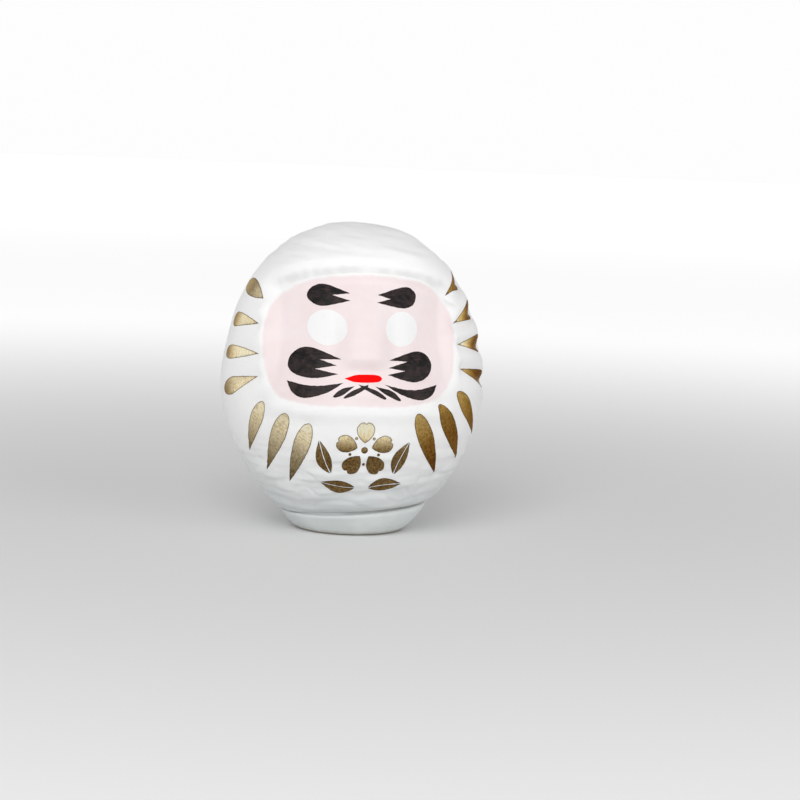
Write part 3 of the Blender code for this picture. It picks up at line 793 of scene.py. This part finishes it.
# ---- films of paint ----


def traced(points, steps=7):
    """A closed outline through (x, y) points: smooth, but sharp at those with a third number."""
    count = len(points)
    outline = []
    for i, (x0, y0, *corner) in enumerate(points):
        before, after, beyond = points[i - 1], points[(i + 1) % count], points[(i + 2) % count]
        start, end = np.array((x0, y0), float), np.array(after[:2], float)
        lead = (end - start) / 3 if corner else (end - np.array(before[:2])) / 6
        follow = (end - start) / 3 if after[2:] else (np.array(beyond[:2]) - start) / 6
        for t in np.arange(steps) / steps:
            point = start * (1 - t) ** 3 + (start + lead) * 3 * t * (1 - t) ** 2
            outline.append(point + (end - follow) * 3 * t * t * (1 - t) + end * t**3)
    return np.array(outline)


def smoothed(points, steps=4):
    """A smooth open line through (a, b) points."""
    marks = np.array(points)
    before, after = marks[:-1], marks[1:]
    lead = np.gradient(marks, axis=0) / 3
    t = (np.arange(steps) / steps)[:, None, None]
    one, two = before + lead[:-1], after - lead[1:]
    line = before * (1 - t) ** 3 + 3 * one * t * (1 - t) ** 2 + 3 * two * t * t * (1 - t) + after * t**3
    return np.vstack((line.transpose(1, 0, 2).reshape(-1, 2), marks[-1:]))


def oval(centre, radii, count=60):
    angle = np.linspace(0, 2 * math.pi, count, endpoint=False)
    return np.stack((centre[0] + radii[0] * np.cos(angle), centre[1] + radii[1] * np.sin(angle)), 1)


def drop(length, width, shape, bluntness, count=40):
    """A brush stroke along +X, centred on the origin: round at its start and pointed at its end."""
    widest, fullness = shape
    t = (np.arange(1, count) / count) ** 1.5
    rounded = np.clip(1 - (1 - t / widest) ** 2, 0, 1) ** (1 - bluntness)
    tapered = 1 - np.clip((t - widest) / (1 - widest), 0, 1) ** fullness
    half = width / 2 * np.where(t < widest, rounded, tapered)
    x = (t - 0.5) * length
    lower = np.stack((x, -half), 1)[::-1]
    return np.concatenate(([(-length / 2, 0)], np.stack((x, half), 1), [(length / 2, 0)], lower))


LEAF_BEND = 0.1  # how far the rib bends aside, as a share of the leaf's width
LEAF_GAP = 0.13  # half the width of the rib
LEAF_BLADES = ((1, 0.55), (-1, 0.45))  # the side each blade is on, and its share of the width
LEAF_BELLY = 0.85  # below 1 the leaf is widest nearer its stem
PETAL = (
    # out and across, as shares of the blossom's radius
    (0.26, 0.0), (0.36, 0.13), (0.55, 0.27), (0.78, 0.31), (0.95, 0.21), (1.0, 0.08),
    (0.95, 0.0), (1.0, -0.08), (0.95, -0.21), (0.78, -0.31), (0.55, -0.27), (0.36, -0.13),
)
STAMEN_AT = 0.52  # how far out the stamens lie, as such a share
STAMEN_RADIUS = 0.42
MIDDLE_RADIUS = 0.95


def leaf_halves(start, end, width, count=16):
    """The two blades of a leaf either side of its unpainted rib."""
    start, end = np.array(start, float), np.array(end, float)
    along = end - start
    across = np.array((-along[1], along[0])) / np.linalg.norm(along)
    t = np.linspace(0, 1, count + 1)[:, None]
    belly = np.sin(math.pi * t**LEAF_BELLY)
    rib = start + along * t + across * LEAF_BEND * width * belly
    halves = []
    for side, share in LEAF_BLADES:
        inner = rib + side * across * LEAF_GAP
        outer = rib + side * across * (LEAF_GAP + width * share * belly)
        halves.append(np.concatenate((inner, outer[1:-1][::-1])))
    return halves


def petals(centre, radius):
    """Five rounded petals, each notched at its outer end, five stamens and the dot in the middle."""
    shapes = []
    for i in range(5):
        angle = math.pi / 2 + 2 * math.pi * i / 5
        turn = np.array(((math.cos(angle), math.sin(angle)), (-math.sin(angle), math.cos(angle))))
        placed = np.array(centre) + radius * np.array(PETAL) @ turn
        shapes.append(traced([(*placed[0], 1), *map(tuple, placed[1:])]))
        between = angle + math.pi / 5
        away = np.array((math.cos(between), math.sin(between)))
        tip = np.array(centre) + STAMEN_AT * radius * away
        shapes.append(oval(tip, (STAMEN_RADIUS, STAMEN_RADIUS), 16))
    shapes.append(oval(centre, (MIDDLE_RADIUS, MIDDLE_RADIUS), 28))
    return shapes


WOBBLE_SIZE = 0.9  # how long the waves of an unsteady edge are


def evenly(outline, spacing, wobble, seed):
    """The outline with points a spacing apart and corners kept, its edge a little unsteady."""
    result = []
    for start, end in zip(outline, np.roll(outline, -1, axis=0)):
        parts = max(1, round(float(np.linalg.norm(end - start)) / spacing))
        result += [start + (end - start) * k / parts for k in range(parts)]
    result = np.array(result)
    spots = np.column_stack((result / WOBBLE_SIZE, np.zeros(len(result))))
    return result + wobble * np.stack((noise(spots, seed), noise(spots, seed + 50)), 1)


def edge_distance(points, outline):
    """How far each point is from the outline."""
    nearest = np.full(len(points), np.inf)
    for start, end in zip(outline, np.roll(outline, -1, axis=0)):
        run = end - start
        t = np.clip(((points - start) @ run) / max(float(run @ run), 1e-12), 0, 1)
        nearest = np.minimum(nearest, np.linalg.norm(points - start - t[:, None] * run, axis=1))
    return nearest


def inside_outline(points, outline):
    """Which points lie inside the outline, by counting the edges to their right."""
    odd = np.zeros(len(points), bool)
    x, y = points.T
    for (x0, y0), (x1, y1) in zip(outline, np.roll(outline, -1, axis=0)):
        if y0 != y1:
            crosses = (y0 > y) != (y1 > y)
            odd ^= crosses & (x < (x1 - x0) * (y - y0) / (y1 - y0) + x0)
    return odd


ROW_SHARE = 0.866  # how far apart rows of even triangles lie, as a share of their side
EDGE_CLEAR = 0.45  # no filling point is nearer the outline than this share of the spacing


def flat_film(outline, spacing):
    """Points and triangles that fill an outline evenly."""
    low, high = outline.min(0), outline.max(0)
    rows = np.arange(low[1], high[1], spacing * ROW_SHARE)
    grid = np.array([
        (x + (k % 2) * spacing / 2, y)
        for k, y in enumerate(rows)
        for x in np.arange(low[0], high[0], spacing)
    ])
    grid = grid[inside_outline(grid, outline)]
    grid = grid[edge_distance(grid, outline) > EDGE_CLEAR * spacing]
    count = len(outline)
    points = [Vector(p) for p in outline] + [Vector(p) for p in grid]
    edges = [(i, (i + 1) % count) for i in range(count)]
    vertices, _, faces, *_ = delaunay_2d_cdt(points, edges, [], 1, 1e-5)
    return np.array([tuple(v) for v in vertices]), [tuple(f) for f in faces]


BOARD_REACH = 30  # rays start this far out from the board


class Placed:
    """A flat drawing board, from which outlines are laid on the doll's surface."""

    def __init__(self, surface, origin, right, up):
        self.surface = surface
        self.origin, self.right, self.up = Vector(origin), Vector(right), Vector(up)
        self.outward = self.right.cross(self.up).normalized()

    def lay(self, points):
        """Surface points and normals under each (x, y) on the board."""
        hits, normals = [], []
        for x, y in points:
            above = self.origin + self.right * x + self.up * y + self.outward * BOARD_REACH
            hit, normal, *_ = self.surface.ray_cast(above, -self.outward)
            hits.append(hit)
            normals.append(normal)
        return np.array(hits), np.array(normals)


def front_board(surface):
    """The board before the face: x to the right, y the height."""
    return Placed(surface, (0, -40, 0), (1, 0, 0), (0, 0, 1))


FILM_ROOT = 0.12  # how far a coat's closed underside lies under the paper's surface


def film_body(board, outline, spacing, height, wobble, seed, shift=None):
    """Vertices, faces and stroke coordinates of one coat of paint laid over an outline.
    The stroke coordinates are millimetres along and across the brush, from shift or else from the
    coat's middle, and in from the edge."""
    outline = evenly(outline, spacing, wobble, seed)
    flat, triangles = flat_film(outline, spacing)
    area = sum(float(np.cross(flat[b] - flat[a], flat[c] - flat[a])) for a, b, c in triangles)
    if area < 0:
        triangles = [t[::-1] for t in triangles]
    hits, normals = board.lay(flat)
    top = hits + normals * height
    bottom = hits - normals * FILM_ROOT
    count = len(flat)
    sides = dict.fromkeys(pair for a, b, c in triangles for pair in ((a, b), (b, c), (c, a)))
    rim = [pair for pair in sides if pair[::-1] not in sides]
    faces = list(triangles)
    faces += [(c + count, b + count, a + count) for a, b, c in triangles]
    faces += [(b, a, a + count, b + count) for a, b in rim]
    edge = edge_distance(flat, outline)
    middle = flat.mean(0) if shift is None else np.array(shift)
    stroke = np.column_stack((flat - middle, edge))
    return np.concatenate((top, bottom)), faces, np.concatenate((stroke, stroke))


def film_piece(name, bodies, look, nodes, reflection_tones=None):
    """One piece from the coats laid for it, riding on the doll. Gold has painted reflections:
    (reflection_tone, warm_reflection).
    """
    vertices, faces, strokes = [], [], []
    start = 0
    for body_vertices, body_faces, stroke in bodies:
        vertices.append(body_vertices)
        strokes.append(stroke)
        faces += [tuple(i + start for i in face) for face in body_faces]
        start += len(body_vertices)
    attributes = {"stroke": np.concatenate(strokes)}
    if reflection_tones is not None:
        reflection_tone = np.zeros((start, 3))
        reflection_tone[:, 0], reflection_tone[:, 1] = reflection_tones
        attributes["reflection_tone"] = reflection_tone
    piece = make_piece(name, np.concatenate(vertices), faces, look, attributes)
    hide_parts(*nodes)
    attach(piece, "root")


# How far each paint stands out from the paper, and how unsteady its edges are.
INK_HEIGHT = 0.07
COAT_HEIGHT = 0.035
GILT_HEIGHT = 0.06
COAT_WOBBLE = 0.12
INK_WOBBLE = 0.08
MOUTH_WOBBLE = 0.06
STRIPE_WOBBLE = 0.07
CREST_WOBBLE = 0.05

# Each mark has a seed of its own, counted up from its group's.
COAT_SEED, EYE_SEED, INK_SEED, MOUTH_SEED, STRIPE_SEED, CREST_SEED = 21, 30, 41, 60, 71, 101


def make_face(surface):
    """The pink coat and every mark painted on it."""
    front = front_board(surface)
    outline = traced(FACE_OUTLINE)
    coat = film_body(front, outline, COAT_SPACING, COAT_HEIGHT, COAT_WOBBLE, COAT_SEED)
    film_piece("face_coat", [coat], coat_look(), ["face_field"])
    white, ink = eye_look(), ink_look()
    for seed, (side, (centre, radii)) in enumerate(EYES.items(), EYE_SEED):
        body = film_body(front, oval(centre, radii), MARK_SPACING, INK_HEIGHT, COAT_WOBBLE, seed)
        film_piece("eye_%s" % side, [body], white, ["eye_blank_" + side])
    for seed, (name, outline) in enumerate(INK_OUTLINES.items(), INK_SEED):
        body = film_body(front, traced(outline), MARK_SPACING, INK_HEIGHT, INK_WOBBLE, seed)
        film_piece(name + "_ink", [body], ink, [name])
    outline = traced(MOUTH_OUTLINE)
    body = film_body(front, outline, MARK_SPACING, INK_HEIGHT, MOUTH_WOBBLE, MOUTH_SEED)
    film_piece("mouth_paint", [body], lip_look(), ["mouth"])


SIDE_REACH = 70  # rays towards the doll's axis start this far from it


def side_point(surface, degrees, height):
    """Where the surface is at a longitude and height."""
    angle = math.radians(degrees)
    away = Vector((math.sin(angle), -math.cos(angle), 0))
    hit, *_ = surface.ray_cast(Vector((0, 0, height)) + away * SIDE_REACH, -away)
    return hit


WARM_REFLECTION = {"left": 0.0, "right": 1.0}  # painted warm reflection: how far the gold is from OLIVE_GOLD to WARM_GOLD
REFLECTION_TONES_AT = (0.1, 0.5, 0.9)  # where along a stripe its three painted reflection tones are
BRUSH_ALONG, BRUSH_ACROSS = 9, 5  # how far on the next stripe's brush pattern starts


def make_stripe(surface, gilt, name, stripe, warm_reflection, seed):
    """One gold stroke, laid on along the line out of the doll's heart."""
    start, end, width, shape, bluntness, reflection_tones = stripe
    first, last = side_point(surface, *start), side_point(surface, *end)
    middle = (first + last) / 2
    outward = (middle - Vector((0, 0, HEART_Z))).normalized()
    along = last - first
    along = (along - along.dot(outward) * outward).normalized()
    board = Placed(surface, middle, along, outward.cross(along))
    length = (last - first).length
    outline = drop(length, width, shape, bluntness)
    shift = (seed * BRUSH_ALONG, seed * BRUSH_ACROSS)
    body = film_body(board, outline, MARK_SPACING, GILT_HEIGHT, STRIPE_WOBBLE, seed, shift)
    travel = (body[2][:, 0] + shift[0]) / length + 0.5
    # painted reflection: the tone runs along the stripe through its three listed tones
    reflection_tone = np.interp(travel, REFLECTION_TONES_AT, reflection_tones)
    film_piece(name + "_gilt", [body], gilt, [name], (reflection_tone, warm_reflection))


def make_stripes(surface, gilt):
    seeds = itertools.count(STRIPE_SEED)
    for side in ("left", "right"):
        for number, stripe in enumerate(UPPER_STRIPES[side] + LOWER_STRIPES[side], 1):
            name = "gold_stripe_%s_%d" % (side, number)
            make_stripe(surface, gilt, name, stripe, WARM_REFLECTION[side], next(seeds))


CREST_SPACING = 0.34
CREST_REFLECTION_TONE = 0.14  # the painted reflection tone at the crest's foot
CREST_PAINTED_HIGHLIGHT = 0.8  # painted highlight: how much paler the gold is at its top
CREST_HIGHLIGHT_BAND = (26.5, 34.5)
CREST_WARM_REFLECTION = 0.4


def make_crest(surface, gilt):
    """The chest's blossom between four leaves."""
    front = front_board(surface)
    seeds = itertools.count(CREST_SEED)
    groups = [("crest_blossom", petals(BLOSSOM_CENTRE, BLOSSOM_RADIUS))]
    groups += [("crest_leaf_" + place, leaf_halves(*leaf)) for place, leaf in CREST_LEAVES.items()]
    for name, outlines in groups:
        bodies = []
        for outline, seed in zip(outlines, seeds):
            shift = (seed, 0)
            body = film_body(front, outline, CREST_SPACING, GILT_HEIGHT, CREST_WOBBLE, seed, shift)
            bodies.append(body)
        heights = np.concatenate([body[0][:, 2] for body in bodies])
        # painted highlight: the gold pales towards the crest's top
        reflection_tone = CREST_REFLECTION_TONE + CREST_PAINTED_HIGHLIGHT * ramp(heights, *CREST_HIGHLIGHT_BAND)
        film_piece(name + "_gilt", bodies, gilt, [name], (reflection_tone, CREST_WARM_REFLECTION))


# ---- studio ----


FLOOR_REACH = 30.0

# The floor brightens to the studio's white: from and to these distances, from and to these glows.
FLOOR_NEAR = (0.05, 0.8, 0.01, 0.54)
FLOOR_FAR = (0.8, 3.0, 0.0, 0.10)
DOME = (0.12, 0.4, 0.985, 0.42)  # the sky dims between these heights, from and to these strengths
LAMPS = (
    # name, place, side of its square, watts
    ("key", (-0.3, -1.15, 0.82), 0.9, 10.0),
    ("fill", (0.9, -0.9, 0.55), 0.8, 2.3),
)


def make_floor():
    bpy.ops.mesh.primitive_circle_add(vertices=96, radius=FLOOR_REACH, fill_type="NGON")
    floor = bpy.context.active_object
    floor.name = "studio_floor"
    paint = Look("pale_floor", 0.9, specular=0.1)
    reach = paint.node("VectorMath", {0: paint.place}, operation="LENGTH").outputs["Value"]
    glow = paint.maths("ADD", paint.span(reach, *FLOOR_NEAR), paint.span(reach, *FLOOR_FAR))
    paint.feed(paint.shader.inputs["Emission Color"], (1, 1, 1))
    paint.feed(paint.shader.inputs["Emission Strength"], glow)
    paint.finish(paint.mix(paint.noise(0.4, 2), FLOOR_GREY, FLOOR_PALE))
    floor.data.materials.append(paint.material)


def make_world():
    """A soft dome, brightest near the horizon as a white backdrop is."""
    world = bpy.data.worlds.new("studio")
    bpy.context.scene.world = world
    world.use_nodes = True
    tree = world.node_tree
    place = tree.nodes.new("ShaderNodeTexCoord").outputs["Generated"]
    split = tree.nodes.new("ShaderNodeSeparateXYZ")
    level = tree.nodes.new("ShaderNodeMapRange")
    level.interpolation_type = "SMOOTHSTEP"
    for index, value in enumerate(DOME, 1):
        level.inputs[index].default_value = value
    background = tree.nodes["Background"]
    background.inputs["Color"].default_value = (1, 1, 1, 1)
    tree.links.new(place, split.inputs[0])
    tree.links.new(split.outputs[2], level.inputs[0])
    tree.links.new(level.outputs[0], background.inputs["Strength"])


def make_studio():
    make_floor()
    make_world()
    for name, place, size, power in LAMPS:
        data = bpy.data.lights.new(name, "AREA")
        data.size = size
        data.energy = power
        lamp = bpy.data.objects.new(name, data)
        lamp.location = place
        aim = Vector((0, 0, HEART_Z * MM)) - Vector(place)
        lamp.rotation_euler = aim.to_track_quat("-Z", "Y").to_euler()
        bpy.context.scene.collection.objects.link(lamp)


CAMERA_AZIMUTH = -7.0
CAMERA_ELEVATION = 6.5
CAMERA_ROLL = 2.3
CAMERA_DISTANCE = 0.62
CAMERA_LENS = 94.2
CAMERA_SENSOR = 36
AIM = (14.1, -6.9)  # what the lens points at, right of and above the doll's middle, in millimetres


def make_camera():
    azimuth, elevation = math.radians(CAMERA_AZIMUTH), math.radians(CAMERA_ELEVATION)
    back = Vector((
        math.sin(azimuth) * math.cos(elevation),
        -math.cos(azimuth) * math.cos(elevation),
        math.sin(elevation),
    ))
    level = Vector((math.cos(azimuth), math.sin(azimuth), 0))
    roll = Matrix.Rotation(math.radians(CAMERA_ROLL), 3, back)
    right = roll @ level
    up = roll @ back.cross(level)
    aim = Vector((0, 0, HEART_Z * MM)) + (right * AIM[0] + up * AIM[1]) * MM
    camera = bpy.data.objects.new("camera", bpy.data.cameras.new("camera"))
    camera.data.lens = CAMERA_LENS
    camera.data.sensor_width = CAMERA_SENSOR
    camera.data.clip_start = 0.01
    axes = Matrix((right, up, back)).transposed().to_4x4()
    camera.matrix_world = Matrix.Translation(aim + back * CAMERA_DISTANCE) @ axes
    bpy.context.scene.collection.objects.link(camera)
    bpy.context.scene.camera = camera


make_camera()
make_studio()
surface = make_shell()
make_base()
make_face(surface)
gilt = gilt_look()
make_stripes(surface, gilt)
make_crest(surface, gilt)
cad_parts["glue_bead"].material_slots[0].material = glue_look()
bpy.context.scene.view_settings.view_transform = "Standard"

bpy.context.view_layer.update()
